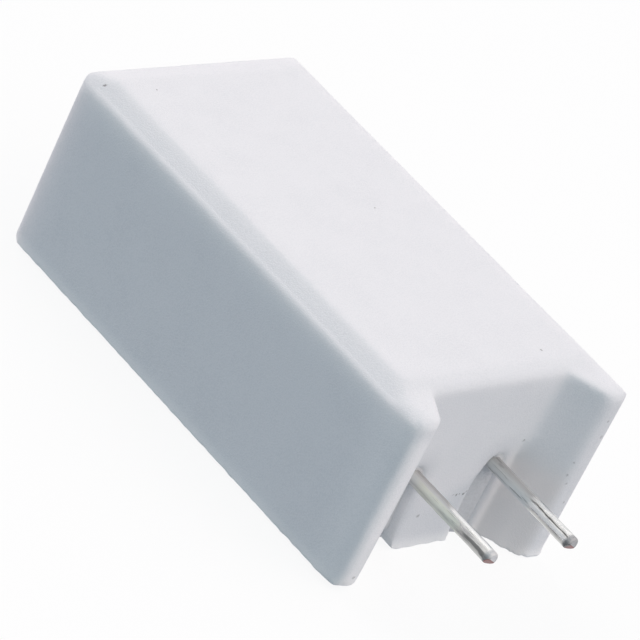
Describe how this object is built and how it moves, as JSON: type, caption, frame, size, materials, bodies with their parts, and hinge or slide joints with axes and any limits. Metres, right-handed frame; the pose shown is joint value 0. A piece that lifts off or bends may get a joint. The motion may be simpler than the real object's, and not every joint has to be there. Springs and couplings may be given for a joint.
{
  "type": "cement resistor",
  "caption": "Upright wire-wound power resistor: a wound rod cemented into a white pressed ceramic box that stands on feet, with round tinned leads out of slots at one end.",
  "frame": {"origin": "middle of the whole outline, on the surface that the case's back lies on", "axes": "+Z out of the raised front panel, -Y along the leads out of the case, X across the case"},
  "size_m": [0.013, 0.028, 0.0094],
  "materials": {
    "case_ceramic": "matte",
    "cement": "matte",
    "core_ceramic": "matte",
    "resistance_alloy": "satin",
    "cap_steel": "satin",
    "tinned_copper": "polished"
  },
  "bodies": {
    "root": {"ceramic_case": "case_ceramic", "cement_fill": "cement", "winding_core": "core_ceramic", "resistance_wire": "resistance_alloy", "near_cap": "cap_steel", "far_cap": "cap_steel", "lead_straight": "tinned_copper", "lead_return": "tinned_copper"}
  },
  "joints": []
}
